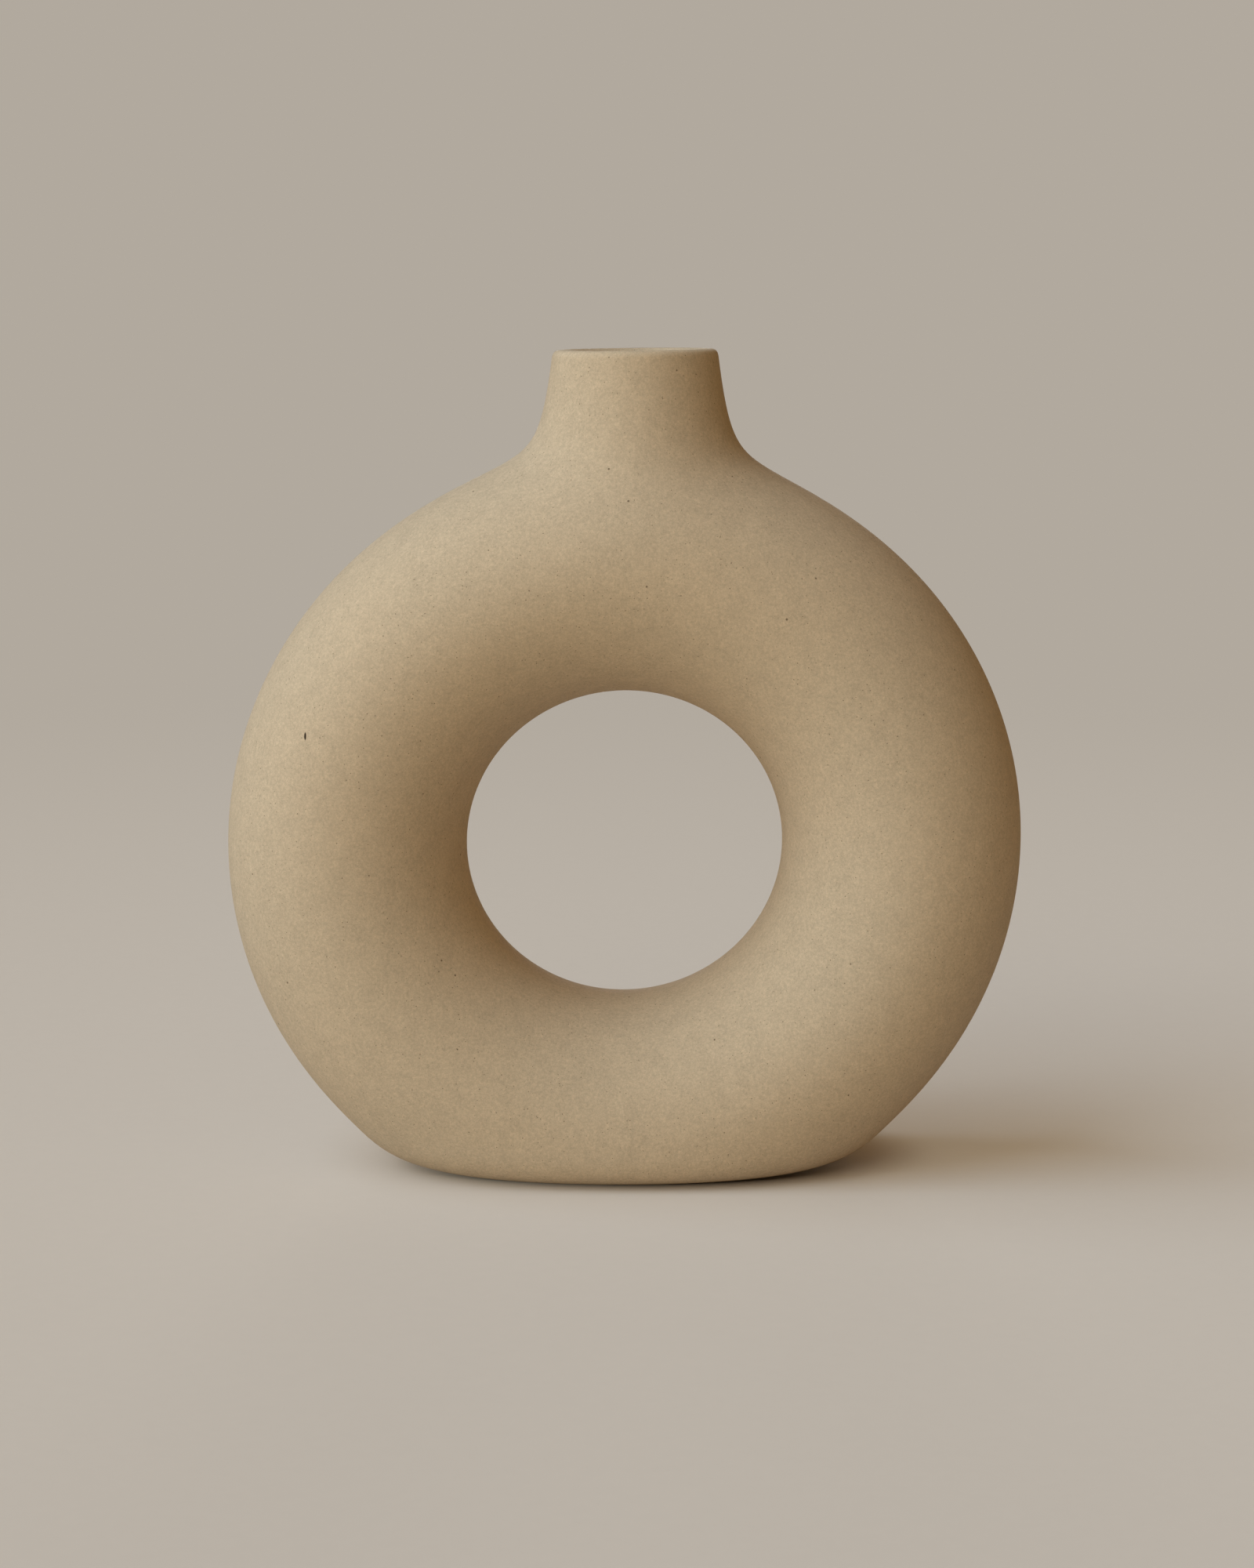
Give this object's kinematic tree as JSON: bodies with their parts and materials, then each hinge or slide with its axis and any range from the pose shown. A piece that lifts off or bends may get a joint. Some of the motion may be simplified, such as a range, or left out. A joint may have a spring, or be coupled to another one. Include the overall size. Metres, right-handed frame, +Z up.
{
  "type": "ring vase",
  "caption": "Hollow ring vase in matte speckled stoneware, with a flat foot, an oval eye through the middle and a short flared neck for flower stems.",
  "frame": {"origin": "on the table, under the middle of the ring, at the underside of the foot felt", "axes": "+Z up towards the mouth, -Y towards the front of the ring, +X to the right seen from the front; the eye runs along Y"},
  "size_m": [0.2004, 0.0692, 0.2085],
  "materials": {
    "clay": "matte unglazed beige stoneware with fine dark speckles",
    "slip": "matte sponged slip, a shade paler than the clay",
    "glaze": "glossy honey-beige liner glaze",
    "felt": "matte dark felt"
  },
  "bodies": {
    "root": {"front_shell": "clay", "back_shell": "clay", "rim_seam": "slip", "eye_seam": "slip", "neck_collar": "clay", "neck_seam": "slip", "chamber_glaze": "glaze", "neck_glaze": "glaze", "foot_felt": "felt"}
  },
  "joints": []
}
